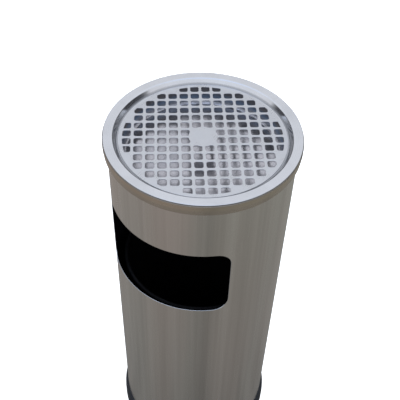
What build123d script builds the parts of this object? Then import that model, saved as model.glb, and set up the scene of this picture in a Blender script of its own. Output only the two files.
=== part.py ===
"""Free-standing round litter bin with a lift-off ash tray on top and a side opening.

Millimetres, +Z up.  The origin is the centre of the face that the bin stands on, and the side
opening faces -Y.  Five bodies: the bin itself, the ash tray, its grille, the inner bucket and
the bucket's bail handle.
"""
from build123d import *
from math import cos, degrees, hypot, radians, sin
import os

# ---------------------------------------------------------------- driving dimensions
bin_height = 610.0
bin_radius = 125.0
shell_radius = 120.0
sheet = 0.8

# side opening, measured on the shell's outer face
opening_half_angle = 48.5
opening_bottom = 401.0
opening_top = 514.5
opening_corner = 20.0

# moulded base ring
ring_height = 33.0
ring_shoulder = 17.0
ring_lip = 1.3
ledge_thickness = 4.0
ledge_radius = 112.0
ring_edge = 1.5

# pressed base plate
plate_flange_height = 15.0
plate_bend = 1.6

# screws that hold the ring to the base plate
screw_count = 4
screw_circle = 115.6
screw_radius = 1.9
screw_length = 7.0
screw_head_radius = 3.6
screw_head_height = 1.9
screw_head_recess = 0.3
screw_head_round = 0.75
screw_point = 0.95
screw_hole = 2.2
counterbore_radius = 4.2
cross_slot_length = 4.2
cross_slot_width = 0.9
cross_slot_depth = 1.0

# ash tray: flat rim, sloping seat, ledge for the grille, basin
tray_radius = 124.2
lip_height = 1.8
lip_width = 4.0
lip_round = 0.7
tray_sheet = 1.0
seat_top_radius = 111.6
seat_bottom_radius = 107.3
seat_depth = 7.5
grille_ledge_radius = 103.3
basin_floor_radius = 102.0
basin_floor_height = 575.5
tray_bends = [2.5, 0.6, 1.2, 6.0]

# collar that carries the tray
collar_hole_radius = 113.6
collar_straight = 7.7
collar_curl_radius = 124.1
collar_drop = 15.4
collar_bends = [1.2, 14.0, 1.4]

# grille plate with square holes round a blank centre
grille_radius = 105.6
grille_thickness = 1.0
hole_pitch = 14.64
hole_side = 11.0
hole_corner = 2.8
hole_rows = 14
hole_field_radius = 100.4
blank_radius = 18.3
grille_turn = 32.6

# inner bucket
bucket_base_radius = 100.8
bucket_top_radius = 106.3
bucket_wall_top = 383.2
bead_radius = 2.5
rim_wire_radius = 1.7
bead_height = 385.5
bead_circle = 105.9
bucket_floor_height = 11.0
bucket_floor_bend = 2.0
bucket_floor_foot = 0.5

# ears that the bail swings in
ear_thickness = 1.5
ear_foot = 355.0
ear_pad_top = 372.0
ear_step_top = 378.0
ear_inner_radius = 108.9
ear_width_angle = 10.0
ear_eye_height = 394.5
ear_eye_radius = 2.4
ear_top_margin = 6.8
ear_corner = 6.0
rivet_height = 362.0
rivet_angle = 3.1
rivet_radius = 1.6
rivet_head_radius = 3.1
rivet_head_height = 1.2
rivet_seat = 0.1
rivet_drill = 12.0
eye_drill = 6.0

# bail handle
bail_wire_radius = 2.0
bail_radius = 102.5
bail_bend = 4.0
bail_head_start = 110.8
bail_head_end = 112.2
bail_head_radius = 3.4
grip_radius = 5.5
grip_half_angle = 25.0
grip_round = 1.2

# ---------------------------------------------------------------- derived heights and radii
shell_bore = shell_radius - sheet
shell_bottom = ledge_thickness
collar_top = bin_height - lip_height
shell_top = collar_top - sheet
plate_top = shell_bottom + sheet
seat_height = bin_height - seat_depth
bucket_foot = plate_top
bucket_slope = (bucket_top_radius - bucket_base_radius) / (bucket_wall_top - bucket_foot)
hole_reach = (hole_rows - 1) / 2

os.makedirs("parts", exist_ok=True)


def bucket_outer_radius(height):
    """Outer radius of the tapered bucket wall at a height."""
    return bucket_base_radius + bucket_slope * (height - bucket_foot)


def radial_plane(azimuth, radius, height):
    """Plane on a vertical round face: its normal points straight out from the bin's axis."""
    turn = radians(azimuth)
    outward = Vector(cos(turn), sin(turn), 0)
    return Plane(origin=outward * radius + Vector(0, 0, height), x_dir=(0, 0, 1), z_dir=outward)


# ---------------------------------------------------------------- bin body
opening_side = shell_radius * sin(radians(opening_half_angle))
opening_inset = shell_radius * sin(radians(opening_half_angle - degrees(opening_corner / shell_radius)))
opening_low = opening_bottom + opening_corner
opening_high = opening_top - opening_corner
corner_reach = opening_side - opening_inset
corner_centres = [
    (opening_inset, opening_high),
    (-opening_inset, opening_high),
    (-opening_inset, opening_low),
    (opening_inset, opening_low),
]

# rolled sheet, open at both ends
with BuildPart() as outer_shell:
    with BuildSketch(Plane.XY.offset(shell_bottom)):
        Circle(shell_radius)
        Circle(shell_bore, mode=Mode.SUBTRACT)
    extrude(amount=shell_top - shell_bottom)
    # side opening on -Y: a rounded rectangle on the flat blank, drawn as it looks once the sheet is rolled
    with BuildSketch(Plane.XZ):
        with BuildLine():
            for height in (opening_bottom, opening_top):
                Line((-opening_inset, height), (opening_inset, height))
            for side in (-opening_side, opening_side):
                Line((side, opening_low), (side, opening_high))
            for quarter, centre in enumerate(corner_centres):
                EllipticalCenterArc(centre, corner_reach, opening_corner, 90 * quarter, arc_size=90)
        make_face()
    extrude(amount=shell_radius + sheet, mode=Mode.SUBTRACT)

# spun ring that caps the shell, carries the tray and curls in against the shell at its foot
with BuildPart() as top_collar:
    with BuildSketch(Plane.XZ):
        with BuildLine():
            FilletPolyline(
                (collar_hole_radius, collar_top),
                (bin_radius, collar_top),
                (bin_radius, collar_top - collar_straight),
                (collar_curl_radius, collar_top - collar_drop),
                (shell_radius, collar_top - collar_drop),
                radius=collar_bends,
            )
            offset(amount=sheet, side=Side.RIGHT)
        make_face()
    revolve(axis=Axis.Z)

# moulded ring: wall outside the shell, ledge under it
with BuildPart() as base_ring:
    with BuildSketch(Plane.XZ):
        with BuildLine():
            Polyline(
                (shell_radius + ring_lip, ring_height),
                (shell_radius, ring_height),
                (shell_radius, ledge_thickness),
                (ledge_radius, ledge_thickness),
                (ledge_radius, 0),
                (bin_radius - ring_edge, 0),
            )
            Line((bin_radius - ring_edge, 0), (bin_radius, ring_edge))
            Line((bin_radius, ring_edge), (bin_radius, ring_shoulder))
            TangentArc((bin_radius, ring_shoulder), (shell_radius + ring_lip, ring_height), tangent=(0, 1))
        make_face()
    revolve(axis=Axis.Z)
    with Locations(Plane.XY.rotated((180, 0, 0))):
        with PolarLocations(screw_circle, screw_count, start_angle=45):
            CounterBoreHole(screw_hole, counterbore_radius, screw_head_recess + screw_head_height)

# pressed plate that closes the shell's foot
with BuildPart() as base_plate:
    with BuildSketch(Plane.XZ):
        with BuildLine():
            FilletPolyline(
                (0, shell_bottom),
                (shell_bore, shell_bottom),
                (shell_bore, shell_bottom + plate_flange_height),
                radius=plate_bend,
            )
            offset(amount=sheet, side=Side.LEFT)
        make_face()
    revolve(axis=Axis.Z)
    with BuildSketch(Plane.XY.offset(shell_bottom)):
        with PolarLocations(screw_circle, screw_count, start_angle=45):
            Circle(screw_radius)
    extrude(amount=sheet, mode=Mode.SUBTRACT)

# pan-head screws, driven up through the ring into the plate
with BuildPart() as base_screws:
    with BuildSketch(Plane.XY.offset(screw_head_recess)):
        with PolarLocations(screw_circle, screw_count, start_angle=45):
            Circle(screw_head_radius)
    extrude(amount=screw_head_height)
    fillet(base_screws.faces().sort_by(Axis.Z)[:screw_count].edges(), screw_head_round)
    with BuildSketch(Plane.XY.offset(screw_head_recess + screw_head_height)):
        with PolarLocations(screw_circle, screw_count, start_angle=45):
            Circle(screw_radius)
    extrude(amount=screw_length - screw_head_height)
    chamfer(base_screws.faces().sort_by(Axis.Z)[-screw_count:].edges(), screw_point)
    with BuildSketch(Plane.XY.offset(screw_head_recess)):
        with PolarLocations(screw_circle, screw_count, start_angle=45):
            Rectangle(cross_slot_length, cross_slot_width)
            Rectangle(cross_slot_width, cross_slot_length)
    extrude(amount=cross_slot_depth, mode=Mode.SUBTRACT)

# ---------------------------------------------------------------- ash tray and grille
with BuildPart() as ash_tray:
    with BuildSketch(Plane.XZ):
        with BuildLine():
            FilletPolyline(
                (tray_radius - lip_width / 2, bin_height),
                (seat_top_radius, bin_height),
                (seat_bottom_radius, seat_height),
                (grille_ledge_radius, seat_height),
                (basin_floor_radius, basin_floor_height),
                (0, basin_floor_height),
                radius=tray_bends,
            )
            offset(amount=tray_sheet, side=Side.LEFT)
        make_face()
        with Locations((tray_radius - lip_width / 2, bin_height - lip_height / 2)):
            RectangleRounded(lip_width, lip_height, lip_round)
    revolve(axis=Axis.Z)

hole_centres = [
    ((column - hole_reach) * hole_pitch, (row - hole_reach) * hole_pitch)
    for column in range(hole_rows)
    for row in range(hole_rows)
]
kept_centres = [centre for centre in hole_centres if hypot(*centre) <= hole_field_radius]

with BuildSketch(Plane.XY.offset(seat_height).rotated((0, 0, grille_turn))) as grille_holes:
    with Locations(*kept_centres):
        RectangleRounded(hole_side, hole_side, hole_corner)
    Circle(hole_field_radius, mode=Mode.INTERSECT)
    Circle(blank_radius, mode=Mode.SUBTRACT)

with BuildPart() as ash_grille:
    with BuildSketch(Plane.XY.offset(seat_height)):
        Circle(grille_radius)
        add(grille_holes.sketch, mode=Mode.SUBTRACT)
    extrude(amount=grille_thickness)

# ---------------------------------------------------------------- inner bucket
ear_azimuths = [0, 180]
rivet_azimuths = [ear + side * rivet_angle for ear in ear_azimuths for side in (-1, 1)]
pad_outer_radius = bucket_outer_radius(rivet_height) + ear_thickness
rivet_planes = [radial_plane(azimuth, pad_outer_radius, rivet_height) for azimuth in rivet_azimuths]

# tapered wall, its top edge rolled round the rim wire
with BuildPart() as bucket_wall:
    with BuildSketch(Plane.XZ):
        with BuildLine():
            Polyline(
                (bucket_base_radius - sheet, bucket_foot),
                (bucket_base_radius, bucket_foot),
                (bucket_top_radius, bucket_wall_top),
                (bucket_top_radius - sheet, bucket_wall_top),
                close=True,
            )
        make_face()
        with Locations((bead_circle, bead_height)):
            Circle(bead_radius)
            Circle(rim_wire_radius, mode=Mode.SUBTRACT)
    revolve(axis=Axis.Z)
    with Locations(*[plane.location for plane in rivet_planes]):
        Cylinder(rivet_radius, rivet_drill, mode=Mode.SUBTRACT)

with BuildPart() as bucket_rim_wire:
    with BuildSketch(Plane.XZ):
        with Locations((bead_circle, bead_height)):
            Circle(rim_wire_radius)
    revolve(axis=Axis.Z)

# pressed floor, its flange pointing down inside the wall
with BuildPart() as bucket_floor:
    with BuildSketch(Plane.XZ):
        with BuildLine():
            FilletPolyline(
                (0, bucket_floor_height),
                (bucket_base_radius - sheet, bucket_floor_height),
                (bucket_base_radius - sheet, bucket_foot + bucket_floor_foot),
                radius=bucket_floor_bend,
            )
            offset(amount=sheet, side=Side.RIGHT)
        make_face()
    revolve(axis=Axis.Z)


def bucket_ear(azimuth):
    """Ear: a pad on the wall, stepped out past the bead, with an eye for the bail above the rim."""
    section_plane = Plane.XZ.rotated((0, 0, azimuth - ear_width_angle / 2))
    ear_top = ear_eye_height + ear_top_margin
    with BuildPart() as ear:
        with BuildSketch(section_plane):
            with BuildLine():
                Polyline(
                    (bucket_outer_radius(ear_foot), ear_foot),
                    (bucket_outer_radius(ear_pad_top), ear_pad_top),
                    (ear_inner_radius, ear_step_top),
                    (ear_inner_radius, ear_top),
                    (ear_inner_radius + ear_thickness, ear_top),
                    (ear_inner_radius + ear_thickness, ear_step_top),
                    (bucket_outer_radius(ear_pad_top) + ear_thickness, ear_pad_top),
                    (bucket_outer_radius(ear_foot) + ear_thickness, ear_foot),
                    close=True,
                )
            make_face()
        revolve(axis=Axis.Z, revolution_arc=ear_width_angle)
        straight_edges = ear.edges().filter_by(GeomType.LINE)
        corners = straight_edges.filter_by(lambda edge: edge.length < 2 * ear_thickness)
        fillet(corners.group_by(Axis.Z)[-1], ear_corner)
        with Locations(radial_plane(azimuth, ear_inner_radius, ear_eye_height).location):
            Cylinder(ear_eye_radius, eye_drill, mode=Mode.SUBTRACT)
        with Locations(*[plane.location for plane in rivet_planes]):
            Cylinder(rivet_radius, rivet_drill, mode=Mode.SUBTRACT)
    return ear.part


# rivets through each ear's pad and the wall, headed on both sides
head_gap = (sheet + ear_thickness) / 2 + rivet_seat
with BuildPart() as ear_rivets:
    with Locations(*[plane.offset(-(sheet + ear_thickness) / 2).location for plane in rivet_planes]):
        Cylinder(rivet_radius, 2 * head_gap)
        with Locations((0, 0, head_gap)):
            Cylinder(rivet_head_radius, rivet_head_height, align=(Align.CENTER, Align.CENTER, Align.MIN))
        with Locations((0, 0, -head_gap)):
            Cylinder(rivet_head_radius, rivet_head_height, align=(Align.CENTER, Align.CENTER, Align.MAX))

# ---------------------------------------------------------------- bail handle
# the bow lies flat on +Y: a half ring, a tight bend at each end and a pin out through each ear
bow_axis = Axis((0, bail_bend, 0), (0, 0, 1))
bow_section = Plane(origin=(bail_radius, bail_bend, ear_eye_height), x_dir=(1, 0, 0), z_dir=(0, 1, 0))
pin_start = bail_radius + bail_bend
with BuildPart() as bail_wire:
    with BuildSketch(bow_section):
        Circle(bail_wire_radius)
    revolve(axis=bow_axis, revolution_arc=180)
    for side in (-1, 1):
        bend_origin = (side * bail_radius, bail_bend, ear_eye_height)
        with BuildSketch(Plane(origin=bend_origin, x_dir=(1, 0, 0), z_dir=(0, 1, 0))):
            Circle(bail_wire_radius)
        revolve(axis=Axis((side * pin_start, bail_bend, 0), (0, 0, side)), revolution_arc=90)
        with BuildSketch(Plane(origin=(side * pin_start, 0, ear_eye_height), z_dir=(side, 0, 0))):
            Circle(bail_wire_radius)
        extrude(amount=bail_head_end - pin_start)
        with BuildSketch(Plane(origin=(side * bail_head_start, 0, ear_eye_height), z_dir=(side, 0, 0))):
            Circle(bail_head_radius)
        extrude(amount=bail_head_end - bail_head_start)

# moulded sleeve round the middle of the bow
with BuildPart() as bail_grip:
    with BuildSketch(bow_section):
        Circle(grip_radius)
        Circle(bail_wire_radius, mode=Mode.SUBTRACT)
    revolve(axis=bow_axis, revolution_arc=2 * grip_half_angle)
    round_edges = bail_grip.edges().filter_by(lambda edge: edge.is_closed)
    end_rims = round_edges.sort_by(lambda edge: edge.radius)[-2:]
    fillet(end_rims, grip_round)
sleeve = bail_grip.part.rotate(bow_axis, 90 - grip_half_angle)

# ---------------------------------------------------------------- labels and files
pieces = {
    "outer_shell": outer_shell.part,
    "top_collar": top_collar.part,
    "base_ring": base_ring.part,
    "base_plate": base_plate.part,
    "base_screws": base_screws.part,
    "ash_tray": ash_tray.part,
    "ash_grille": ash_grille.part,
    "bucket_wall": bucket_wall.part,
    "bucket_rim_wire": bucket_rim_wire.part,
    "bucket_floor": bucket_floor.part,
    "bucket_ear_right": bucket_ear(ear_azimuths[0]),
    "bucket_ear_left": bucket_ear(ear_azimuths[1]),
    "ear_rivets": ear_rivets.part,
    "bail_wire": bail_wire.part,
    "bail_grip": sleeve,
}
for name, piece in pieces.items():
    piece.label = name
    export_step(piece, f"parts/{name}.step")
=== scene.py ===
"""Looks of a round litter bin with an ash tray on top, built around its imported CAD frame. Metres, +Z up."""

import math

import bmesh
import bpy
from mathutils import Matrix, Vector


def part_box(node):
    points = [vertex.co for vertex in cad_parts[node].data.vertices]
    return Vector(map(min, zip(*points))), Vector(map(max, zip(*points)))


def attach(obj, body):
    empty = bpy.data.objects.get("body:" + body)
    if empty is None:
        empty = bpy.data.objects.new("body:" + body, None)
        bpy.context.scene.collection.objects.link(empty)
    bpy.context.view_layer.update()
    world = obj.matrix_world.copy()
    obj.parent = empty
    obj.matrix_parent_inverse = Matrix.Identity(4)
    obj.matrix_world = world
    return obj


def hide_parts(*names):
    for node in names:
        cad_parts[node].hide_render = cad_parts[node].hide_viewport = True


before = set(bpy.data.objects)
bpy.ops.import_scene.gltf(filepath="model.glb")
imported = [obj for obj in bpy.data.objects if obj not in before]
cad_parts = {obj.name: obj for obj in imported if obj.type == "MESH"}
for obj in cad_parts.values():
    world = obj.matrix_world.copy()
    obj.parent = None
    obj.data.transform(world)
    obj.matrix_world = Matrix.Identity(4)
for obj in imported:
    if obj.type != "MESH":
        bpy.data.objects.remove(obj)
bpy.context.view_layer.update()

# ---------------------------------------------------------------- sizes, from the frame where it gives them
BIN_RADIUS = round(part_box("top_collar")[1].x, 5)
BIN_HEIGHT = round(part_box("ash_tray")[1].z, 5)
SHELL_FOOT = round(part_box("outer_shell")[0].z, 5)
SHELL_TOP = round(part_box("outer_shell")[1].z, 5)
SHELL_RADIUS = 0.120
SHEET = 0.0008

OPENING_HALF_ANGLE = math.radians(48.5)
OPENING_BOTTOM = 0.401
OPENING_TOP = 0.5145
OPENING_CORNER = 0.020
OPENING_MIDDLE = (OPENING_BOTTOM + OPENING_TOP) / 2
# where the corner arcs are centred, from the opening's middle
CORNER_UP = (OPENING_TOP - OPENING_BOTTOM) / 2 - OPENING_CORNER
CORNER_ALONG = OPENING_HALF_ANGLE * SHELL_RADIUS - OPENING_CORNER
# the cut edge's rounding, the strip of faces beside it, and the rectangle of faces round the opening
EDGE_ROUND = 0.0004
EDGE_BLEND = 0.006
FRAME_WIDTH = SHELL_RADIUS * (OPENING_HALF_ANGLE + math.radians(13))
FRAME_MARGIN = 0.022

RING_HEIGHT = round(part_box("base_ring")[1].z, 5)
RING_SHOULDER = 0.017
RING_LIP = 0.0013
RING_EDGE = 0.0015
# how the ring's sharp edges are broken
RING_BREAK = 0.0003
RING_TOP_BREAK = 0.0004
RING_CUT = 0.0002
LEDGE = 0.004
LEDGE_RADIUS = 0.112
SCREW_CIRCLE = 0.1156
SCREW_HOLE = 0.0022
COUNTERBORE_RADIUS = 0.0042
COUNTERBORE_DEPTH = 0.0022

TRAY_RADIUS = round(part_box("ash_tray")[1].x, 5)
TRAY_SHEET = 0.001
SEAT_TOP_RADIUS = 0.1116
SEAT_BOTTOM_RADIUS = 0.1073
SEAT_DEPTH = 0.0075
GRILLE_LEDGE_RADIUS = 0.1033
BASIN_RADIUS = 0.102
BASIN_FLOOR = 0.5755
LIP_HEIGHT = 0.0018
LIP_ROUND = 0.0007
LIP_SHADE = (0.1215, 0.1222)  # radii between which the painted shade under the rim's lip sets in
FOLD_WIDTH = 0.004

COLLAR_HOLE = 0.1136
COLLAR_STRAIGHT = 0.0077
COLLAR_CURL_RADIUS = 0.1241
COLLAR_DROP = 0.0154

GRILLE_RADIUS = round(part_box("ash_grille")[1].x, 5)
GRILLE_FOOT = round(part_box("ash_grille")[0].z, 5)
GRILLE_THICKNESS = 0.001
HOLE_PITCH = 0.01464
HOLE_SIDE = 0.011
HOLE_CORNER = 0.0028
HOLE_ROWS = 14
HOLE_FIELD = 0.1004
HOLE_ROLL = 0.00028
HOLE_POINT_GAP = 0.0012
BLANK_RADIUS = 0.0183
GRILLE_TURN = math.radians(32.6)

BUCKET_FOOT = 0.0048
BUCKET_BASE_RADIUS = 0.1008
BUCKET_TOP_RADIUS = 0.1063
BUCKET_FLOOR = 0.011
BEAD_CIRCLE = 0.1059
BEAD_HEIGHT = 0.3855
BEAD_RADIUS = 0.0025

EYE_HEIGHT = 0.3945
BAIL_RADIUS = 0.1025
BAIL_BEND = 0.004
WIRE_RADIUS = 0.002
PIN_INSET = 0.0006
PIN_HEAD = (0.1108, 0.1122)
PIN_HEAD_RADIUS = 0.0034
GRIP_RADIUS = 0.0055
GRIP_HALF_ANGLE = math.radians(25.0)
GRIP_END_ROUND = 0.0014
GRIP_PLAIN_END = 0.006
GRIP_RING_PITCH = 0.0052
GRIP_RING_DEPTH = 0.0004

RIVET_HEIGHT = 0.362
RIVET_ANGLE = math.radians(3.1)
RIVET_RADIUS = 0.0031
RIVET_DOME = 0.0012
RIVET_SHANK = 0.0016
RIVET_OUTER_FACE = 0.1075  # distance from the bin's axis
EAR_SHEET = 0.0016

# mesh fineness; a bend is held sharp by one more point this far past each end of its arc
TURNS = 240
ARC_STEPS = 6
HOLD = 0.0002
NEARLY_STRAIGHT = math.radians(89)
MITRE_LIMIT = 0.3
ON_AXIS = 1e-6


# ---------------------------------------------------------------- mesh helpers
def new_piece(name, mesh_data, materials, body, slot, *nodes):
    """Links a finished mesh as a piece that rides on a body and stands for CAD nodes."""
    mesh = bpy.data.meshes.new(name)
    mesh_data.normal_update()
    mesh_data.to_mesh(mesh)
    mesh_data.free()
    piece = bpy.data.objects.new(name, mesh)
    bpy.context.scene.collection.objects.link(piece)
    for material in materials:
        mesh.materials.append(material)
    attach(piece, body)
    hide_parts(*nodes)


def repaint(node, material):
    """Gives a CAD node that stays as it is its own material."""
    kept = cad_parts[node]
    kept.data.materials.clear()
    kept.data.materials.append(material)
    return kept


def join_mesh(mesh, part):
    """Adds a finished mesh to another and frees it."""
    held = bpy.data.meshes.new("held")
    part.to_mesh(held)
    part.free()
    mesh.from_mesh(held)
    bpy.data.meshes.remove(held)


def on_circle(angle, radius=1.0):
    """Flat point on a circle round the origin."""
    return Vector((math.cos(angle), math.sin(angle))) * radius


def rounded_path(points, radii):
    """Open path through (radius, height) points with each inner corner turned into an arc."""
    path = [Vector(points[0])]
    for before, corner, after, radius in zip(points, points[1:], points[2:], radii):
        corner = Vector(corner)
        to_before = (Vector(before) - corner).normalized()
        to_after = (Vector(after) - corner).normalized()
        half = to_before.angle(to_after) / 2
        if radius <= 0 or half > NEARLY_STRAIGHT:
            path.append(corner)
            continue
        reach = radius / math.tan(half)
        middle = corner + (to_before + to_after).normalized() * (radius / math.sin(half))
        start = corner + to_before * reach
        end = corner + to_after * reach
        sweep = (start - middle).angle_signed(end - middle)
        path.append(start + to_before * HOLD)
        for step in range(ARC_STEPS + 1):
            turn = Matrix.Rotation(-sweep * step / ARC_STEPS, 2)
            path.append(middle + turn @ (start - middle))
        path.append(end + to_after * HOLD)
    path.append(Vector(points[-1]))
    return path


def path_normals(path):
    """Left-hand normal at each point of a path, scaled so that an offset keeps its thickness."""
    normals = []
    for index, point in enumerate(path):
        before = path[max(index - 1, 0)]
        after = path[min(index + 1, len(path) - 1)]
        sides = [(b - a).normalized() for a, b in ((before, point), (point, after)) if (b - a).length > 0]
        lefts = [Vector((-side.y, side.x)) for side in sides]
        mean = sum(lefts, Vector((0, 0))).normalized()
        normals.append(mean / max(mean.dot(lefts[0]), MITRE_LIMIT))
    return normals


def sheet_outline(points, radii, thickness):
    """Closed outline of a bent sheet: the path, and its offset to the left by the thickness.

    A free end bulges a little; an end on the axis has no edge."""
    path = rounded_path(points, radii)
    normals = path_normals(path)
    far_side = [point + normal * thickness for point, normal in zip(path, normals)]
    outline = list(path)
    half = thickness / 2
    bulge = half / 2
    for start, end, back in ((path[-1], far_side[-1], path[-2]), (far_side[0], path[0], path[1])):
        middle = (start + end) / 2
        outward = (middle - back).normalized()
        across = (start - middle).normalized()
        if start.x > HOLD:
            for angle in (45, 90, 135):
                turn = math.radians(angle)
                outline.append(middle + across * math.cos(turn) * half + outward * math.sin(turn) * bulge)
        if start is path[-1]:
            outline.extend(reversed(far_side))
    return outline


def lathe(outline, turns=TURNS, closed=True):
    """Turns a (radius, height) outline round the Z axis. A point on the axis becomes one vertex."""
    mesh = bmesh.new()
    rings = []
    for radius, height in outline:
        if radius < ON_AXIS:
            rings.append([mesh.verts.new((0, 0, height))])
            continue
        angles = (2 * math.pi * turn / turns for turn in range(turns))
        rings.append([mesh.verts.new((radius * math.cos(a), radius * math.sin(a), height)) for a in angles])
    pairs = list(zip(rings, rings[1:]))
    if closed:
        pairs.append((rings[-1], rings[0]))
    for first, second in pairs:
        join_rings(mesh, first, second)
    bmesh.ops.recalc_face_normals(mesh, faces=mesh.faces)
    smooth(mesh.faces)
    return mesh


def join_rings(mesh, first, second):
    """Faces between two rings of vertices, either of which may be a single point."""
    made = []
    count = max(len(first), len(second))
    for index in range(count):
        after = (index + 1) % count
        corners = [first[index % len(first)], first[after % len(first)]]
        corners += [second[after % len(second)], second[index % len(second)]]
        unique = list(dict.fromkeys(corners))
        if len(unique) > 2:
            made.append(mesh.faces.new(unique))
    return made


def smooth(faces):
    """Shades faces smoothly."""
    for face in faces:
        face.smooth = True


def tube(points, radii, sides):
    """Round tube with flat ends along a smooth level curve."""
    mesh = bmesh.new()
    rings = []
    for index, (point, radius) in enumerate(zip(points, radii)):
        along = (points[min(index + 1, len(points) - 1)] - points[max(index - 1, 0)]).normalized()
        across = along.cross(Vector((0, 0, 1))).normalized()
        up = across.cross(along)
        ring = []
        for side in range(sides):
            angle = 2 * math.pi * side / sides
            ring.append(mesh.verts.new(point + (across * math.cos(angle) + up * math.sin(angle)) * radius))
        rings.append(ring)
    for first, second in zip(rings, rings[1:]):
        join_rings(mesh, first, second)
    mesh.faces.new(rings[0])
    mesh.faces.new(rings[-1])
    bmesh.ops.recalc_face_normals(mesh, faces=mesh.faces)
    smooth(mesh.faces)
    return mesh


def arc_points(centre, radius, start, size, steps):
    """Points on a level arc; angles in radians from +X."""
    angles = (start + size * step / steps for step in range(steps + 1))
    return [centre + Vector((math.cos(a), math.sin(a), 0)) * radius for a in angles]


# ---------------------------------------------------------------- material helpers
def fill_ramp(ramp_node, stops):
    """Sets a colour ramp node's (position, colour) stops."""
    elements = ramp_node.color_ramp.elements
    while len(elements) < len(stops):
        elements.new(0.5)
    for element, (position, color) in zip(elements, stops):
        element.position = position
        element.color = (*color, 1)


class Paint:
    """Node material with one Principled shader and short calls for the nodes used here."""

    def __init__(self, name, color, metallic, roughness, **constants):
        self.material = bpy.data.materials.new(name)
        self.material.use_nodes = True
        self.tree = self.material.node_tree
        self.shader = self.tree.nodes["Principled BSDF"]
        self.shader.inputs["Base Color"].default_value = (*color, 1)
        self.shader.inputs["Metallic"].default_value = metallic
        self.shader.inputs["Roughness"].default_value = roughness
        for socket, value in constants.items():
            self.shader.inputs[socket.replace("_", " ")].default_value = value
        self.place = self.node("ShaderNodeTexCoord").outputs["Object"]

    def node(self, kind, **settings):
        made = self.tree.nodes.new(kind)
        for key, value in settings.items():
            setattr(made, key, value)
        return made

    def link(self, output, socket):
        self.tree.links.new(output, socket)

    def stretched(self, scale):
        mapping = self.node("ShaderNodeMapping")
        mapping.inputs["Scale"].default_value = scale
        self.link(self.place, mapping.inputs["Vector"])
        return mapping.outputs["Vector"]

    def turned_place(self):
        """(distance from the Z axis, height, nothing): the same all the way round a spun piece."""
        flat = self.node("ShaderNodeVectorMath", operation="MULTIPLY")
        self.link(self.place, flat.inputs[0])
        flat.inputs[1].default_value = (1, 1, 0)
        length = self.node("ShaderNodeVectorMath", operation="LENGTH")
        self.link(flat.outputs["Vector"], length.inputs[0])
        parts = self.node("ShaderNodeSeparateXYZ")
        self.link(self.place, parts.inputs["Vector"])
        joined = self.node("ShaderNodeCombineXYZ")
        self.link(length.outputs["Value"], joined.inputs["X"])
        self.link(parts.outputs["Z"], joined.inputs["Y"])
        return joined.outputs["Vector"]

    def noise(self, vector, scale=1.0, detail=2.0, roughness=0.5, distortion=0.0):
        made = self.node("ShaderNodeTexNoise")
        made.inputs["Scale"].default_value = scale
        made.inputs["Detail"].default_value = detail
        made.inputs["Roughness"].default_value = roughness
        made.inputs["Distortion"].default_value = distortion
        self.link(vector, made.inputs["Vector"])
        return made.outputs["Fac"]

    def remap(self, value, low, high, source=(0.3, 0.7)):
        """From low where the value is source[0] to high where it is source[1], and held outside them."""
        made = self.node("ShaderNodeMapRange")
        made.inputs["From Min"].default_value = source[0]
        made.inputs["From Max"].default_value = source[1]
        made.inputs["To Min"].default_value = low
        made.inputs["To Max"].default_value = high
        self.link(value, made.inputs["Value"])
        return made.outputs["Result"]

    def ramp(self, value, *stops):
        made = self.node("ShaderNodeValToRGB")
        fill_ramp(made, stops)
        self.link(value, made.inputs["Fac"])
        return made.outputs["Color"]

    def math(self, operation, first, second):
        made = self.node("ShaderNodeMath", operation=operation)
        for socket, value in zip(made.inputs, (first, second)):
            if isinstance(value, (int, float)):
                socket.default_value = value
            else:
                self.link(value, socket)
        return made.outputs["Value"]

    def mix(self, factor, first, second):
        """Mix of two colours. A Mix node's colour sockets are inputs 6 and 7 and output 2."""
        made = self.node("ShaderNodeMix", data_type="RGBA")
        self.link(factor, made.inputs["Factor"])
        for socket, value in ((made.inputs[6], first), (made.inputs[7], second)):
            if isinstance(value, tuple):
                socket.default_value = (*value, 1)
            else:
                self.link(value, socket)
        return made.outputs[2]

    def scaled(self, color, factor):
        made = self.node("ShaderNodeVectorMath", operation="SCALE")
        self.link(color, made.inputs[0])
        self.link(factor, made.inputs["Scale"])
        return made.outputs["Vector"]

    def towards(self, vector, direction):
        made = self.node("ShaderNodeVectorMath", operation="DOT_PRODUCT")
        self.link(vector, made.inputs[0])
        made.inputs[1].default_value = direction
        return made.outputs["Value"]

    def axes(self, vector=None):
        made = self.node("ShaderNodeSeparateXYZ")
        self.link(vector or self.place, made.inputs["Vector"])
        return made.outputs["X"], made.outputs["Y"], made.outputs["Z"]

    def color(self, output):
        self.link(output, self.shader.inputs["Base Color"])

    def roughness(self, output):
        self.link(output, self.shader.inputs["Roughness"])

    def bump(self, height, distance, strength=1.0):
        made = self.node("ShaderNodeBump")
        made.inputs["Strength"].default_value = strength
        made.inputs["Distance"].default_value = distance
        self.link(height, made.inputs["Height"])
        self.link(made.outputs["Normal"], self.shader.inputs["Normal"])


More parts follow.
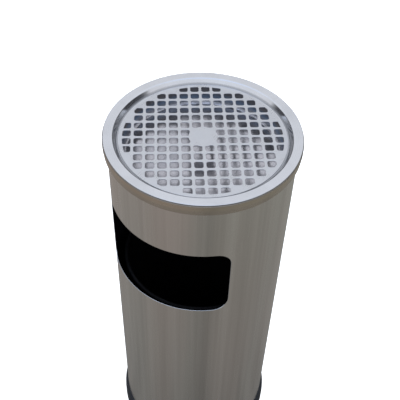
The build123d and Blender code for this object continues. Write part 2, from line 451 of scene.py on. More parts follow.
def brushed_shell_paint():
    """Stainless sheet brushed along the bin's height, with soft warm and cool bands."""
    paint = Paint("shell_brushed_steel", (0.60, 0.58, 0.56), 1.0, 0.26, Anisotropic=0.6)
    tangent = paint.node("ShaderNodeTangent", direction_type="RADIAL", axis="Z")
    paint.link(tangent.outputs["Tangent"], paint.shader.inputs["Tangent"])
    hairlines = paint.noise(paint.stretched((1400, 1400, 12)), detail=3)
    streaks = paint.noise(paint.stretched((170, 170, 1.6)), detail=3)
    bands = paint.noise(paint.stretched((42, 42, 0.5)), detail=3)
    warmth = paint.noise(paint.stretched((16, 16, 0.9)), detail=2)
    fine = paint.math("ADD", paint.math("MULTIPLY", hairlines, 0.14), paint.math("MULTIPLY", streaks, 0.30))
    tone = paint.math("ADD", fine, paint.math("MULTIPLY", bands, 0.56))
    stops = (0.36, 0.5, 0.64)
    cool = paint.ramp(tone, *zip(stops, ((0.53, 0.535, 0.515), (0.60, 0.605, 0.585), (0.66, 0.665, 0.645))))
    warm = paint.ramp(tone, *zip(stops, ((0.56, 0.515, 0.49), (0.63, 0.585, 0.56), (0.69, 0.645, 0.62))))
    paint.color(paint.mix(paint.remap(warmth, 0.25, 0.75, (0.38, 0.62)), cool, warm))
    paint.roughness(paint.remap(fine, 0.18, 0.30, (0.14, 0.30)))
    paint.bump(hairlines, 0.00002, 0.6)
    return paint.material


def spun_paint(name, color, roughness, wear=0.05, lines=1500.0, anisotropic=0.4, shade_mask=None, shade_color=None):
    """Steel turned on a lathe: fine rings, faint smudges and a little colour drift.

    Optional masks paint shade in: one is 1 where the steel is left plain and less where shade is painted into
    the colour, the other gives the colour of that painted shade."""
    paint = Paint(name, color, 1.0, roughness, Anisotropic=anisotropic)
    tangent = paint.node("ShaderNodeTangent", direction_type="RADIAL", axis="Z")
    paint.link(tangent.outputs["Tangent"], paint.shader.inputs["Tangent"])
    rings = paint.noise(paint.turned_place(), scale=lines, detail=3)
    smudges = paint.noise(paint.place, scale=28, detail=4, distortion=0.6)
    darker = tuple(channel * 0.9 for channel in color)
    lighter = tuple(min(channel * 1.06, 1) for channel in color)
    drift = paint.math("ADD", paint.math("MULTIPLY", rings, 0.5), paint.math("MULTIPLY", smudges, 0.5))
    tone = paint.ramp(drift, (0.35, darker), (0.5, color), (0.65, lighter))
    # painted shade: where the mask falls below 1 the colour turns to the shade colour and the steel grows
    # less metallic
    if shade_mask:
        unshaded = shade_mask(paint)
        tone = paint.mix(unshaded, shade_color(paint) if shade_color else (0, 0, 0), tone)
        paint.link(paint.remap(unshaded, 0.2, 0.95, (0.2, 1.0)), paint.shader.inputs["Metallic"])
    paint.color(tone)
    paint.roughness(paint.remap(smudges, max(roughness - wear, 0.03), roughness + wear))
    paint.bump(rings, 0.00001, 0.5)
    return paint.material


def tray_shade_mask(paint):
    """Painted shade under the rim's outer lip and in the corner round the grille."""
    distance, height, _ = paint.axes(paint.turned_place())
    at_lip = paint.remap(distance, 0.0, 1.0, LIP_SHADE)
    under_lip = paint.remap(height, 1.0, 0.0, (BIN_HEIGHT - 0.0009, BIN_HEIGHT - 0.0005))
    seat = BIN_HEIGHT - SEAT_DEPTH
    in_corner = paint.math("MULTIPLY", paint.remap(height, 1.0, 0.0, (seat + 0.0012, seat + 0.0030)), 0.5)
    lip_and_groove_shade = paint.math("MAXIMUM", paint.math("MULTIPLY", at_lip, under_lip), in_corner)
    return paint.remap(lip_and_groove_shade, 1.0, 0.3, (0.0, 1.0))


def basin_shade_mask(paint):
    """Painted shade that darkens the basin's wall and leaves its floor lighter."""
    height = paint.axes()[2]
    clouds = paint.noise(paint.place, scale=45, detail=4)
    risen = paint.math("ADD", height, paint.math("MULTIPLY", clouds, 0.004))
    return paint.remap(risen, 0.94, 0.18, (BASIN_FLOOR + 0.001, BASIN_FLOOR + 0.012))


def basin_shade_tint(paint):
    """Colour of the painted shade: bluish low on the wall, where it stands in for blue sky light in the shade
    under the grille, brownish above it.
    """
    tide = paint.remap(paint.axes()[2], 0.0, 1.0, (BASIN_FLOOR + 0.010, BASIN_FLOOR + 0.018))
    return paint.ramp(tide, (0.0, (0.05, 0.14, 0.26)), (1.0, (0.045, 0.045, 0.05)))


def collar_shade_mask(paint):
    """Painted shade: a dark line at the joint under the tray's lip, and a darker lower half."""
    height = paint.axes()[2]
    joint = paint.remap(height, 1.0, 0.4, (BIN_HEIGHT - 0.0028, BIN_HEIGHT - 0.0024))
    lower = paint.remap(height, 0.84, 1.0, (BIN_HEIGHT - 0.0120, BIN_HEIGHT - 0.0070))
    return paint.math("MULTIPLY", joint, lower)


def grille_paint():
    """Satin sheet of the grille: grain one way, light scuffs, faint ash stains, and painted shade underneath.
    """
    paint = Paint("grille_satin_steel", (0.60, 0.60, 0.61), 1.0, 0.26)
    grain = paint.noise(paint.stretched((900, 60, 900)), detail=3)
    stains = paint.noise(paint.place, scale=60, detail=5, roughness=0.6, distortion=0.5)
    tones = (0.3, (0.54, 0.54, 0.545)), (0.48, (0.60, 0.60, 0.61)), (0.7, (0.63, 0.635, 0.645))
    tone = paint.ramp(stains, *tones)
    # painted shade: the colour darkens on the underside
    underside_shade = paint.remap(paint.axes()[2], 0.5, 1.0, (GRILLE_FOOT + 0.0001, GRILLE_FOOT + 0.0007))
    paint.color(paint.scaled(tone, underside_shade))
    unevenness = paint.math("ADD", paint.math("MULTIPLY", grain, 0.5), paint.math("MULTIPLY", stains, 0.5))
    paint.roughness(paint.remap(unevenness, 0.22, 0.42))
    paint.bump(grain, 0.00002, 0.5)
    return paint.material


def black_plastic_paint():
    """Moulded black plastic with a fine grained skin and pale scuffs low down."""
    paint = Paint("black_moulded_plastic", (0.018, 0.020, 0.024), 0.0, 0.42, Specular_IOR_Level=0.3)
    grain = paint.noise(paint.place, scale=1400, detail=2)
    scuffs = paint.noise(paint.stretched((90, 90, 260)), detail=6, roughness=0.65, distortion=0.8)
    tones = (0.45, (0.016, 0.018, 0.022)), (0.62, (0.022, 0.024, 0.028)), (0.78, (0.06, 0.062, 0.066))
    paint.color(paint.ramp(scuffs, *tones))
    paint.roughness(paint.remap(scuffs, 0.36, 0.60))
    paint.bump(grain, 0.00012, 0.35)
    return paint.material


def black_lacquer_shade_paint(name, scale):
    """Black baked paint on sheet steel: orange peel, dust and small chips. Its near-black also stands in for
    the deep shade inside the bin.
    """
    paint = Paint(name, (0.008, 0.008, 0.009), 0.0, 0.7, Specular_IOR_Level=0.05)
    peel = paint.noise(paint.place, scale=scale, detail=2)
    dust = paint.noise(paint.stretched((40, 40, 14)), detail=6, roughness=0.6)
    paint.color(paint.ramp(dust, (0.4, (0.006, 0.006, 0.007)), (0.7, (0.011, 0.011, 0.012))))
    paint.roughness(paint.remap(dust, 0.6, 0.8))
    paint.bump(peel, 0.00008, 0.3)
    return paint.material


def zinc_paint():
    """Zinc-plated steel: dull crystals with mixed brightness."""
    paint = Paint("zinc_plated_steel", (0.55, 0.56, 0.57), 1.0, 0.4)
    cells = paint.node("ShaderNodeTexVoronoi")
    cells.inputs["Scale"].default_value = 140
    paint.link(paint.place, cells.inputs["Vector"])
    shade = paint.node("ShaderNodeSeparateColor")
    paint.link(cells.outputs["Color"], shade.inputs["Color"])
    clouds = paint.noise(paint.place, scale=35, detail=4)
    paint.color(paint.ramp(shade.outputs["Red"], (0.0, (0.48, 0.49, 0.50)), (1.0, (0.62, 0.63, 0.64))))
    paint.roughness(paint.remap(clouds, 0.32, 0.5))
    paint.bump(clouds, 0.00003, 0.4)
    return paint.material


# ---------------------------------------------------------------- shell
def opening_loop(grow, radius, arc_steps=8, level_steps=30, upright_steps=8):
    """Points round the side opening, grown outwards along the sheet, on a cylinder of that radius.

    They start at the right end of the bottom edge and run anticlockwise, seen from outside. The same points
    come flat too, as (distance along the sheet, height over the opening's middle)."""
    corner = OPENING_CORNER + grow
    corners = ((1, -1, -90), (1, 1, 0), (-1, 1, 90), (-1, -1, 180))
    steps_after = (upright_steps, level_steps, upright_steps, level_steps)
    next_corners = corners[1:] + corners[:1]
    flat = []
    for (side, level, start), (next_side, next_level, _), steps in zip(corners, next_corners, steps_after):
        for step in range(arc_steps + 1):
            angle = math.radians(start + 90 * step / arc_steps)
            reach, rise = corner * math.cos(angle), corner * math.sin(angle)
            flat.append((side * CORNER_ALONG + reach, level * CORNER_UP + rise))
        begin = Vector(flat[-1])
        finish = Vector((next_side * CORNER_ALONG + reach, next_level * CORNER_UP + rise))
        for step in range(1, steps):
            flat.append(tuple(begin.lerp(finish, step / steps)))
    return [from_front(along / SHELL_RADIUS, OPENING_MIDDLE + up, radius) for along, up in flat], flat


def from_front(azimuth, height, radius):
    """Point at that distance from the bin's axis; azimuth 0 is the middle of the opening, on -Y."""
    return Vector((radius * math.sin(azimuth), -radius * math.cos(azimuth), height))


def frame_loop(flat, low, high, radius):
    """The opening's loop pushed out to a rectangle on the sheet, point for point."""
    pushed = []
    for along, up in flat:
        over_x = abs(along) - CORNER_ALONG
        over_y = abs(up) - CORNER_UP
        reach = high - OPENING_MIDDLE if up > 0 else OPENING_MIDDLE - low
        if over_x <= 1e-9:
            point = (along, math.copysign(reach, up))
        elif over_y <= 1e-9:
            point = (math.copysign(FRAME_WIDTH, along), up)
        elif over_x >= over_y:
            climb = CORNER_UP + (reach - CORNER_UP) * over_y / over_x
            point = (math.copysign(FRAME_WIDTH, along), math.copysign(climb, up))
        else:
            spread = CORNER_ALONG + (FRAME_WIDTH - CORNER_ALONG) * over_x / over_y
            point = (math.copysign(spread, along), math.copysign(reach, up))
        pushed.append((point[0], OPENING_MIDDLE + point[1]))
    return [from_front(x / SHELL_RADIUS, z, radius) for x, z in pushed], pushed


def edge_section(inner):
    """(growth of the loop, radius) from the outside over the rounded cut edge to the inside.

    Also tells where the edge starts and where the inside does."""
    outer_part = [("frame", SHELL_RADIUS), (EDGE_BLEND, SHELL_RADIUS), (EDGE_ROUND + HOLD, SHELL_RADIUS)]
    inner_part = [(EDGE_ROUND + HOLD, inner), (EDGE_BLEND, inner), ("frame", inner)]
    edge = []
    for angle in range(0, 181, 30):
        bend = math.radians(angle)
        growth = EDGE_ROUND * (1 - math.sin(bend))
        edge.append((growth, SHELL_RADIUS - EDGE_ROUND + EDGE_ROUND * math.cos(bend)))
    return outer_part + edge + inner_part, len(outer_part), len(outer_part) + len(edge)


def levels(start, end, steps):
    """Evenly spaced values from start to end."""
    return [start + (end - start) * step / steps for step in range(steps + 1)]


def shell_mesh():
    """Rolled sheet with its opening. Material 0 is the outside, 1 the lacquered inside, near-black as painted
    shade, 2 the cut edge, whose colour paints a highlight.
    """
    mesh = bmesh.new()
    low, high = OPENING_BOTTOM - FRAME_MARGIN, OPENING_TOP + FRAME_MARGIN
    inner = SHELL_RADIUS - SHEET
    section, edge_start, inside_start = edge_section(inner)
    loops = []
    for grow, radius in section:
        points, flat = opening_loop(EDGE_BLEND if grow == "frame" else grow, radius)
        if grow == "frame":
            points, pushed = frame_loop(flat, low, high, radius)
        loops.append([mesh.verts.new(point) for point in points])
    for index, (first, second) in enumerate(zip(loops, loops[1:])):
        material = 0 if index < edge_start else 2 if index < inside_start else 1
        for face in join_rings(mesh, first, second):
            face.material_index = material

    edge_columns = sorted({round(x, 6) for x, z in pushed if abs(z - high) < 1e-6})
    side_rows = sorted({round(z, 6) for x, z in pushed if abs(x - FRAME_WIDTH) < 1e-6})
    around = 2 * math.pi * SHELL_RADIUS
    back_columns = levels(FRAME_WIDTH, around - FRAME_WIDTH, 80)
    columns = edge_columns + back_columns[1:-1]
    lookup = {}
    for loop, radius in ((loops[0], SHELL_RADIUS), (loops[-1], inner)):
        for vertex, (x, z) in zip(loop, pushed):
            lookup[(round(x, 6), round(z, 6), radius)] = vertex

    def vertex_at(x, z, radius):
        wrapped = x - around if x > around / 2 + 1e-9 else x
        key = (round(wrapped, 6), round(z, 6), radius)
        if key not in lookup:
            lookup[key] = mesh.verts.new(from_front(wrapped / SHELL_RADIUS, z, radius))
        return lookup[key]

    def grid(xs, zs, radius, material, closed):
        pairs = list(zip(xs, xs[1:])) + ([(xs[-1], xs[0])] if closed else [])
        for left, right in pairs:
            for bottom, top in zip(zs, zs[1:]):
                corners = [vertex_at(left, bottom, radius), vertex_at(right, bottom, radius)]
                corners += [vertex_at(right, top, radius), vertex_at(left, top, radius)]
                mesh.faces.new(corners).material_index = material

    rows_below = levels(SHELL_FOOT, low, 12)
    rows_above = levels(high, SHELL_TOP, 4)
    for radius, material in ((SHELL_RADIUS, 0), (inner, 1)):
        grid(columns, rows_below, radius, material, True)
        grid(columns, rows_above, radius, material, True)
        grid(back_columns, side_rows, radius, material, False)
    for height in (SHELL_FOOT, SHELL_TOP):
        outer_ring = [vertex_at(x, height, SHELL_RADIUS) for x in columns]
        inner_ring = [vertex_at(x, height, inner) for x in columns]
        join_rings(mesh, outer_ring, inner_ring)
    bmesh.ops.recalc_face_normals(mesh, faces=mesh.faces)
    smooth(mesh.faces)
    return mesh


# ---------------------------------------------------------------- grille
def hole_outline(centre, grow):
    """Rounded square hole, grown by that much, kept inside the hole field and clear of the blank centre."""
    corner = HOLE_CORNER + grow
    straight = HOLE_SIDE / 2 + grow - corner
    points = []
    for quarter, (side, level) in enumerate(((1, -1), (1, 1), (-1, 1), (-1, -1))):
        for step in range(5):
            angle = math.radians(-90 + 90 * quarter + 90 * step / 4)
            reach, rise = corner * math.cos(angle), corner * math.sin(angle)
            points.append(Vector((side * straight + reach, level * straight + rise)))
    dense = []
    for first, second in zip(points, points[1:] + points[:1]):
        pieces = max(1, round((second - first).length / HOLE_POINT_GAP))
        dense += [centre + first.lerp(second, step / pieces) for step in range(pieces)]
    limited = []
    for point in dense:
        reach = point.length
        limit = min(max(reach, BLANK_RADIUS - grow), HOLE_FIELD + grow)
        limited.append(point * (limit / reach))
    return limited


def grille_mesh():
    """Punched plate: rolled-over edges above, sharp below, flat faces filled between the holes."""
    mesh = bmesh.new()
    bottom = GRILLE_FOOT
    top = bottom + GRILLE_THICKNESS
    turn = Matrix.Rotation(GRILLE_TURN, 2)
    places = [(row - (HOLE_ROWS - 1) / 2) * HOLE_PITCH for row in range(HOLE_ROWS)]
    centres = [Vector((x, y)) for x in places for y in places]
    centres = [centre for centre in centres if HOLE_PITCH < centre.length <= HOLE_FIELD]
    section = [(HOLE_ROLL, top)]
    for angle in (22.5, 45, 67.5, 90):
        bend = math.radians(angle)
        section.append((HOLE_ROLL * (1 - math.sin(bend)), top - HOLE_ROLL * (1 - math.cos(bend))))
    section += [(0.0, bottom + HOLE_ROLL / 2), (HOLE_ROLL / 2, bottom)]
    outlines = [lambda grow, c=centre: hole_outline(c, grow) for centre in centres]
    angles = [2 * math.pi * step / TURNS for step in range(TURNS)]
    outlines.append(lambda grow: [on_circle(angle) * (GRILLE_RADIUS - grow) for angle in angles])
    top_edges, bottom_edges = [], []
    for outline in outlines:
        rings = []
        for grow, height in section:
            rings.append([mesh.verts.new((*(turn @ point), height)) for point in outline(grow)])
        for first, second in zip(rings, rings[1:]):
            join_rings(mesh, first, second)
        for ring, edges in ((rings[0], top_edges), (rings[-1], bottom_edges)):
            for start, end in zip(ring, ring[1:] + ring[:1]):
                edges.append(mesh.edges.get((start, end)))
    smooth(mesh.faces)
    for edges, up in ((top_edges, 1), (bottom_edges, -1)):
        bmesh.ops.triangle_fill(mesh, use_beauty=True, use_dissolve=False, edges=edges, normal=(0, 0, up))
    bmesh.ops.recalc_face_normals(mesh, faces=mesh.faces)
    return mesh


# ---------------------------------------------------------------- materials
shell_steel = brushed_shell_paint()
# the collar's brownish base colour is a painted reflection of the ground below
collar_steel = spun_paint(
    "collar_spun_steel_painted_reflection_and_shade", (0.50, 0.435, 0.36), 0.24,
    wear=0.06, lines=1800, anisotropic=0.5, shade_mask=collar_shade_mask)
tray_steel = spun_paint(
    "tray_polished_steel", (0.61, 0.61, 0.62), 0.08,
    wear=0.03, lines=900, anisotropic=0.2, shade_mask=tray_shade_mask)
# the cut edge's bluish, brighter colour is a painted highlight; its low roughness is the deburred polish
edge_steel = spun_paint("edge_deburred_steel_painted_highlight", (0.60, 0.63, 0.68), 0.16)
# the basin's wall takes painted shade, bluish low down
basin_steel = spun_paint(
    "basin_steel_painted_shade", (0.655, 0.62, 0.62), 0.20,
    wear=0.08, lines=600, anisotropic=0.2, shade_mask=basin_shade_mask, shade_color=basin_shade_tint)
grille_steel = grille_paint()
black_plastic = black_plastic_paint()
# both black paints also stand in for the deep shade inside the bin, seen through the opening
bucket_black_painted_shade = black_lacquer_shade_paint("bucket_black_enamel_painted_shade", 500)
inside_black_painted_shade = black_lacquer_shade_paint("shell_inside_lacquer_painted_shade", 380)
zinc_steel = zinc_paint()

# ---------------------------------------------------------------- bin body
shell_looks = [shell_steel, inside_black_painted_shade, edge_steel]
new_piece("shell", shell_mesh(), shell_looks, "bin_body", "brushed_steel", "outer_shell")

collar_top = BIN_HEIGHT - LIP_HEIGHT
collar_points = [
    (COLLAR_HOLE, collar_top),
    (BIN_RADIUS, collar_top),
    (BIN_RADIUS, collar_top - COLLAR_STRAIGHT),
    (COLLAR_CURL_RADIUS, collar_top - COLLAR_DROP),
    (SHELL_RADIUS, collar_top - COLLAR_DROP),
]
collar_outline = sheet_outline(collar_points, [0.0012, 0.014, 0.0014], -SHEET)
new_piece("collar", lathe(collar_outline), [collar_steel], "bin_body", "satin_steel", "top_collar")

# ---------------------------------------------------------------- ash tray and grille
tray_points = [
    (TRAY_RADIUS - 0.002, BIN_HEIGHT),
    (SEAT_TOP_RADIUS, BIN_HEIGHT),
    (SEAT_BOTTOM_RADIUS, BIN_HEIGHT - SEAT_DEPTH),
    (GRILLE_LEDGE_RADIUS, BIN_HEIGHT - SEAT_DEPTH),
    (BASIN_RADIUS, BASIN_FLOOR),
    (0, BASIN_FLOOR),
]


def tray_outline():
    """Rim with its edge folded under, sloping seat, ledge, wall and floor: one closed sheet outline."""
    upper = rounded_path(tray_points, [0.0025, 0.0006, 0.0012, 0.006])
    normals = path_normals(upper)
    lower = [point + normal * TRAY_SHEET for point, normal in zip(upper, normals)]
    fold_edge = TRAY_RADIUS - FOLD_WIDTH
    lip_foot = BIN_HEIGHT - LIP_HEIGHT
    fold = [Vector((fold_edge - 0.0002, BIN_HEIGHT - TRAY_SHEET - 0.0001))]
    fold += [Vector((fold_edge, lip_foot + 0.0003)), Vector((fold_edge + 0.0004, lip_foot))]
    lip = []
    for height, start in ((lip_foot + LIP_ROUND, -90), (BIN_HEIGHT - LIP_ROUND, 0)):
        for step in range(ARC_STEPS + 1):
            angle = math.radians(start + 90 * step / ARC_STEPS)
            lip.append(Vector((TRAY_RADIUS - LIP_ROUND, height)) + on_circle(angle, LIP_ROUND))
    lip.append(lip[-1] - Vector((HOLD, 0)))
    inner_lower = [point for point in lower if point.x < fold_edge - 0.0005]
    inner_upper = [point for point in upper if point.x < fold_edge]
    return list(reversed(inner_lower)) + fold + lip + inner_upper


tray_mesh = lathe(tray_outline(), closed=False)
for face in tray_mesh.faces:
    middle = face.calc_center_median()
    if middle.xy.length < GRILLE_LEDGE_RADIUS and middle.z < BIN_HEIGHT - SEAT_DEPTH:
        face.material_index = 1
new_piece("tray", tray_mesh, [tray_steel, basin_steel], "tray", "polished_steel", "ash_tray")
new_piece("grille_plate", grille_mesh(), [grille_steel], "grille", "satin_steel", "ash_grille")

# ---------------------------------------------------------------- base
def ring_outlines():
    """The moulded ring's outer and inner outlines; its underside and ledge are filled between them."""
    rise = RING_HEIGHT - RING_SHOULDER
    inset = BIN_RADIUS - SHELL_RADIUS - RING_LIP
    shoulder_radius = (rise ** 2 + inset ** 2) / (2 * inset)
    shoulder_angle = math.asin(rise / shoulder_radius)
    outer = [(SHELL_RADIUS, LEDGE), (SHELL_RADIUS, RING_HEIGHT)]
    outer.append((SHELL_RADIUS + RING_LIP - RING_TOP_BREAK, RING_HEIGHT))
    steps = 8
    for step in range(steps, -1, -1):
        angle = shoulder_angle * step / steps
        swell = shoulder_radius * (1 - math.cos(angle))
        drop = RING_BREAK if step == steps else 0
        height = RING_SHOULDER + shoulder_radius * math.sin(angle)
        outer.append((BIN_RADIUS - swell - drop / 3, height - drop))
    outer += [(BIN_RADIUS, RING_EDGE + RING_BREAK), (BIN_RADIUS - RING_CUT, RING_EDGE - RING_CUT)]
    outer += [(BIN_RADIUS - RING_EDGE + RING_CUT, RING_CUT), (BIN_RADIUS - RING_EDGE - RING_BREAK, 0)]
    inner = [(LEDGE_RADIUS + RING_BREAK, 0), (LEDGE_RADIUS, RING_BREAK), (LEDGE_RADIUS, LEDGE)]
    return outer, inner


def foot_ring_mesh():
    """Moulded ring; its underside has a counterbored hole for each screw."""
    mesh = bmesh.new()
    for outline in ring_outlines():
        join_mesh(mesh, lathe(outline, closed=False))
    hole = [(COUNTERBORE_RADIUS, 0), (COUNTERBORE_RADIUS, COUNTERBORE_DEPTH)]
    hole += [(SCREW_HOLE, COUNTERBORE_DEPTH), (SCREW_HOLE, LEDGE)]
    for quarter in range(4):
        centre = on_circle(math.radians(45 + 90 * quarter), SCREW_CIRCLE)
        rings = []
        for radius, height in hole:
            points = (centre + on_circle(2 * math.pi * step / 32, radius) for step in range(32))
            rings.append([mesh.verts.new((*point, height)) for point in points])
        for first, second in zip(rings, rings[1:]):
            join_rings(mesh, first, second)
    for height in (0.0, LEDGE):
        rims = [edge for edge in mesh.edges if edge.is_boundary]
        rims = [edge for edge in rims if all(abs(corner.co.z - height) < 1e-7 for corner in edge.verts)]
        bmesh.ops.triangle_fill(mesh, use_beauty=True, use_dissolve=False, edges=rims, normal=(0, 0, 1))
    bmesh.ops.recalc_face_normals(mesh, faces=mesh.faces)
    for face in mesh.faces:
        face.smooth = abs(face.normal.z) < 0.999
    return mesh


new_piece("foot_ring", foot_ring_mesh(), [black_plastic], "bin_body", "black_plastic", "base_ring")
repaint("base_plate", zinc_steel)
repaint("base_screws", zinc_steel)


# ---------------------------------------------------------------- bucket
def bucket_outline():
    """Tapered wall with its rolled bead: up the outside, round the bead and down the inside."""
    wall_top = BEAD_HEIGHT - BEAD_RADIUS
    sheet = Vector((SHEET, 0))
    foot, top = Vector((BUCKET_BASE_RADIUS, BUCKET_FOOT)), Vector((BUCKET_TOP_RADIUS, wall_top))
    outside = [foot.lerp(top, step / 10) for step in range(10)]
    inside = [(foot - sheet).lerp(top - sheet, 1 - step / 10) for step in range(1, 10)]
    bead = []
    for step in range(33):
        angle = math.radians(-75 + 330 * step / 32)
        bead.append(Vector((BEAD_CIRCLE, BEAD_HEIGHT)) + on_circle(angle, BEAD_RADIUS))
    return [foot - sheet] + outside + bead + inside


bucket_nodes = ("bucket_wall", "bucket_rim_wire")
new_piece("bucket_side", lathe(bucket_outline()), [bucket_black_painted_shade], "bucket", "black_paint", *bucket_nodes)

floor_radius = BUCKET_BASE_RADIUS - SHEET
floor_points = [(0, BUCKET_FLOOR), (floor_radius, BUCKET_FLOOR), (floor_radius, BUCKET_FOOT + 0.0005)]
floor_mesh = lathe(sheet_outline(floor_points, [0.002], -SHEET), closed=False)
new_piece("bucket_bottom", floor_mesh, [bucket_black_painted_shade], "bucket", "black_paint", "bucket_floor")

for node in ("bucket_ear_right", "bucket_ear_left"):
    soften = repaint(node, bucket_black_painted_shade).modifiers.new("edges", "BEVEL")
    soften.width = 0.0003
    soften.segments = 2


def rivets_mesh():
    """Domed heads inside and outside the wall at each rivet, on one shank."""
    mesh = bmesh.new()
    inner_face = RIVET_OUTER_FACE - SHEET - EAR_SHEET
    dome = [(0.0, 1.0), (0.0010, 0.96), (0.0019, 0.8), (0.0026, 0.5), (RIVET_RADIUS, 0.0)]
    outline = [(radius, RIVET_OUTER_FACE + RIVET_DOME * share) for radius, share in dome]
    outline += [(RIVET_SHANK, RIVET_OUTER_FACE - 0.0001), (RIVET_SHANK, inner_face + 0.0001)]
    outline += [(radius, inner_face - RIVET_DOME * share) for radius, share in reversed(dome)]
    upright = Matrix.Rotation(math.radians(90), 4, "Y")
    for side in (0, math.pi):
        for offset in (-RIVET_ANGLE, RIVET_ANGLE):
            stem = lathe(outline, turns=32, closed=False)
            turn = Matrix.Rotation(side + offset, 4, "Z")
            stem.transform(Matrix.Translation((0, 0, RIVET_HEIGHT)) @ turn @ upright)
            join_mesh(mesh, stem)
    smooth(mesh.faces)
    return mesh


new_piece("rivets", rivets_mesh(), [zinc_steel], "bucket", "zinc_steel", "ear_rivets")

# ---------------------------------------------------------------- bail handle
bow_centre = Vector((0, BAIL_BEND, EYE_HEIGHT))


def mirrored(points):
    """The same points on the other side of the YZ plane, in the opposite order."""
    return [Vector((-point.x, point.y, point.z)) for point in reversed(points)]


def bail_mesh():
    """Wire bow from one headed pin to the other."""
    low, high = PIN_HEAD
    quarter = math.radians(90)
    bend_place = BAIL_RADIUS + BAIL_BEND
    pin = [Vector((high - PIN_INSET, 0, EYE_HEIGHT)), Vector((bend_place + HOLD, 0, EYE_HEIGHT))]
    bend = arc_points(Vector((bend_place, BAIL_BEND, EYE_HEIGHT)), BAIL_BEND, -quarter, -quarter, 10)
    bow = arc_points(bow_centre, BAIL_RADIUS, 0, math.pi, 120)
    points = pin + bend + bow[1:-1] + mirrored(bend) + mirrored(pin)
    mesh = tube(points, [WIRE_RADIUS] * len(points), 20)
    head = [(0, low), (PIN_HEAD_RADIUS - 0.0004, low), (PIN_HEAD_RADIUS, low + 0.0004)]
    head += [(PIN_HEAD_RADIUS, high - 0.0007), (PIN_HEAD_RADIUS * 0.8, high - 0.0002), (0, high)]
    outwards = Matrix.Rotation(quarter, 4, "Y")
    for side in (0, math.pi):
        disc = lathe(head, turns=32, closed=False)
        disc.transform(Matrix.Translation((0, 0, EYE_HEIGHT)) @ Matrix.Rotation(side, 4, "Z") @ outwards)
        join_mesh(mesh, disc)
    smooth(mesh.faces)
    return mesh


def grip_mesh():
    """Sleeve on the bow with rounded ends and shallow finger rings."""
    steps = 120
    start = math.pi / 2 - GRIP_HALF_ANGLE
    points = arc_points(bow_centre, BAIL_RADIUS, start, 2 * GRIP_HALF_ANGLE, steps)
    length = 2 * GRIP_HALF_ANGLE * BAIL_RADIUS
    radii = []
    for step in range(steps + 1):
        from_end = min(step, steps - step) / steps * length
        radius = GRIP_RADIUS
        if from_end < GRIP_END_ROUND:
            radius -= GRIP_END_ROUND * (1 - math.sqrt(1 - (1 - from_end / GRIP_END_ROUND) ** 2))
        if from_end > GRIP_PLAIN_END:
            wave = max(0.0, math.cos(from_end / GRIP_RING_PITCH * 2 * math.pi))
            radius -= GRIP_RING_DEPTH * wave ** 4
        radii.append(radius)
    return tube(points, radii, 32)


new_piece("bail", bail_mesh(), [zinc_steel], "bail", "zinc_steel", "bail_wire")
new_piece("grip", grip_mesh(), [black_plastic], "bail", "black_plastic", "bail_grip")


# ---------------------------------------------------------------- floor, surroundings and light
STAGE_RADIUS = 6.0


def stage_disc(name, height, material):
    """Level disc that belongs to the surroundings, not to the object."""
    mesh = bpy.data.meshes.new(name)
    disc = bmesh.new()
    bmesh.ops.create_circle(disc, cap_ends=True, segments=96, radius=STAGE_RADIUS)
    bmesh.ops.translate(disc, verts=disc.verts, vec=(0, 0, height))
    disc.to_mesh(mesh)
    disc.free()
    mesh.materials.append(material)
    made = bpy.data.objects.new(name, mesh)
    bpy.context.scene.collection.objects.link(made)
    return made


def floor_paint():
    """Pale floor, lit from within so that it stays near white and takes only a faint shadow."""
    paint = Paint("pale_floor", (0.9, 0.9, 0.89), 0.0, 0.9, Emission_Strength=0.86)
    paint.shader.inputs["Emission Color"].default_value = (1, 1, 0.985, 1)
    return paint.material


# directions on the ground: from warm paving to cool, and to the shadow of somebody who looks at the bin
WARM_TO_COOL = (0.878, 0.479, 0.0)
ONLOOKER = (0.624, -0.781, 0.0)


def ground_paint():
    """What the steel reflects below the horizon: grey paving, warmer or cooler by direction."""
    paint = Paint("paving_seen_in_reflections", (0, 0, 0), 0.0, 1.0, Emission_Strength=1.0)
    distance = paint.node("ShaderNodeVectorMath", operation="LENGTH")
    paint.link(paint.place, distance.inputs[0])
    direction = paint.node("ShaderNodeVectorMath", operation="NORMALIZE")
    paint.link(paint.place, direction.inputs[0])
    away, heading = distance.outputs["Value"], direction.outputs["Vector"]
    # darker close to the bin: a painted contact shadow on the reflected paving
    near = (0.10, (0.20, 0.196, 0.188)), (0.30, (0.275, 0.265, 0.25))
    warm = paint.ramp(away, *near, (0.75, (0.37, 0.335, 0.31)), (1.0, (0.33, 0.29, 0.26)))
    cool = paint.ramp(away, *near, (0.75, (0.327, 0.33, 0.30)), (1.0, (0.28, 0.28, 0.25)))
    hue = paint.math("MULTIPLY", paint.noise(heading, scale=1.3, detail=2), 0.5)
    across = paint.towards(heading, WARM_TO_COOL)
    tone = paint.mix(paint.remap(paint.math("ADD", across, hue), 0.0, 1.0, (-0.15, 0.45)), warm, cool)
    patches = paint.remap(paint.noise(heading, scale=5, detail=4), 0.86, 1.10)
    shadow = paint.remap(paint.towards(heading, ONLOOKER), 1.0, 0.73, (0.975, 0.998))
    seen = paint.scaled(tone, paint.math("MULTIPLY", patches, shadow))
    paint.link(seen, paint.shader.inputs["Emission Color"])
    return paint.material


floor = stage_disc("floor", 0.0, floor_paint())
floor.visible_glossy = False
floor.visible_diffuse = False
ground = stage_disc("paving", -0.001, ground_paint())
ground.visible_camera = False
ground.visible_shadow = False

CAMERA_AZIMUTH = math.radians(28.607)
CAMERA_REACH = 0.66234
CAMERA_HEIGHT = 1.18198
CAMERA_HEADING = math.radians(-28.694)
CAMERA_PITCH = math.radians(46.297)
CAMERA_ROLL = math.radians(-2.067)
CAMERA_LENS = 63.48

# the sky comes down lower in front of the bin than behind it
SKY_LEAN = (0.066, -0.311, 1.0)


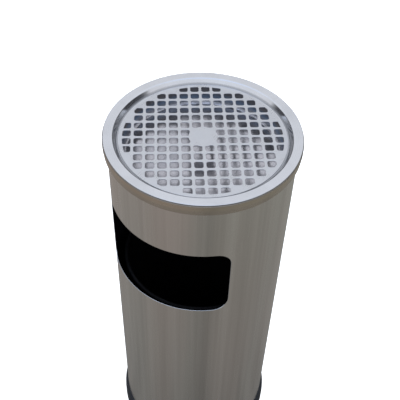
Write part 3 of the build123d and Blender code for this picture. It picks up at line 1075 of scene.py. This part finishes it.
def make_camera():
    """Camera that looks down at the bin from the right of the opening's middle, rolled a little."""
    ahead = Vector((math.sin(CAMERA_HEADING), math.cos(CAMERA_HEADING), 0))
    level_right = Vector((math.cos(CAMERA_HEADING), -math.sin(CAMERA_HEADING), 0))
    forward = ahead * math.cos(CAMERA_PITCH) - Vector((0, 0, math.sin(CAMERA_PITCH)))
    level_up = level_right.cross(forward)
    right = level_right * math.cos(CAMERA_ROLL) - level_up * math.sin(CAMERA_ROLL)
    up = level_right * math.sin(CAMERA_ROLL) + level_up * math.cos(CAMERA_ROLL)
    camera = bpy.data.objects.new("camera", bpy.data.cameras.new("camera"))
    bpy.context.scene.collection.objects.link(camera)
    camera.data.sensor_width = 36
    camera.data.lens = CAMERA_LENS
    camera.data.clip_start = 0.01
    turn = Matrix((right, up, -forward)).transposed().to_4x4()
    camera.matrix_world = Matrix.Translation(from_front(CAMERA_AZIMUTH, CAMERA_HEIGHT, CAMERA_REACH)) @ turn
    bpy.context.scene.camera = camera


def make_world():
    """White behind the object, and for reflections a pale sky that darkens towards the horizon."""
    world = bpy.data.worlds.new("surroundings")
    bpy.context.scene.world = world
    world.use_nodes = True
    tree = world.node_tree
    nodes = tree.nodes
    for node in list(nodes):
        nodes.remove(node)
    place = nodes.new("ShaderNodeTexCoord")
    lean = nodes.new("ShaderNodeVectorMath")
    lean.operation = "DOT_PRODUCT"
    lean.inputs[1].default_value = SKY_LEAN
    tree.links.new(place.outputs["Generated"], lean.inputs[0])
    ramp = nodes.new("ShaderNodeValToRGB")
    stops = ((0.0, (0.05, 0.05, 0.055)), (0.15, (0.06, 0.06, 0.07)), (0.21, (0.30, 0.31, 0.33)))
    stops += ((0.27, (0.92, 0.95, 1.02)), (0.7, (1.00, 1.06, 1.17)), (1.0, (1.00, 1.15, 1.45)))
    fill_ramp(ramp, stops)
    tree.links.new(lean.outputs["Value"], ramp.inputs["Fac"])
    sky = nodes.new("ShaderNodeBackground")
    tree.links.new(ramp.outputs["Color"], sky.inputs["Color"])
    plain = nodes.new("ShaderNodeBackground")
    plain.inputs["Color"].default_value = (0.99, 0.99, 0.975, 1)
    seen = nodes.new("ShaderNodeLightPath")
    mix = nodes.new("ShaderNodeMixShader")
    tree.links.new(seen.outputs["Is Camera Ray"], mix.inputs["Fac"])
    tree.links.new(sky.outputs["Background"], mix.inputs[1])
    tree.links.new(plain.outputs["Background"], mix.inputs[2])
    output = nodes.new("ShaderNodeOutputWorld")
    tree.links.new(mix.outputs["Shader"], output.inputs["Surface"])


make_camera()
make_world()
bpy.context.scene.view_settings.view_transform = "Standard"
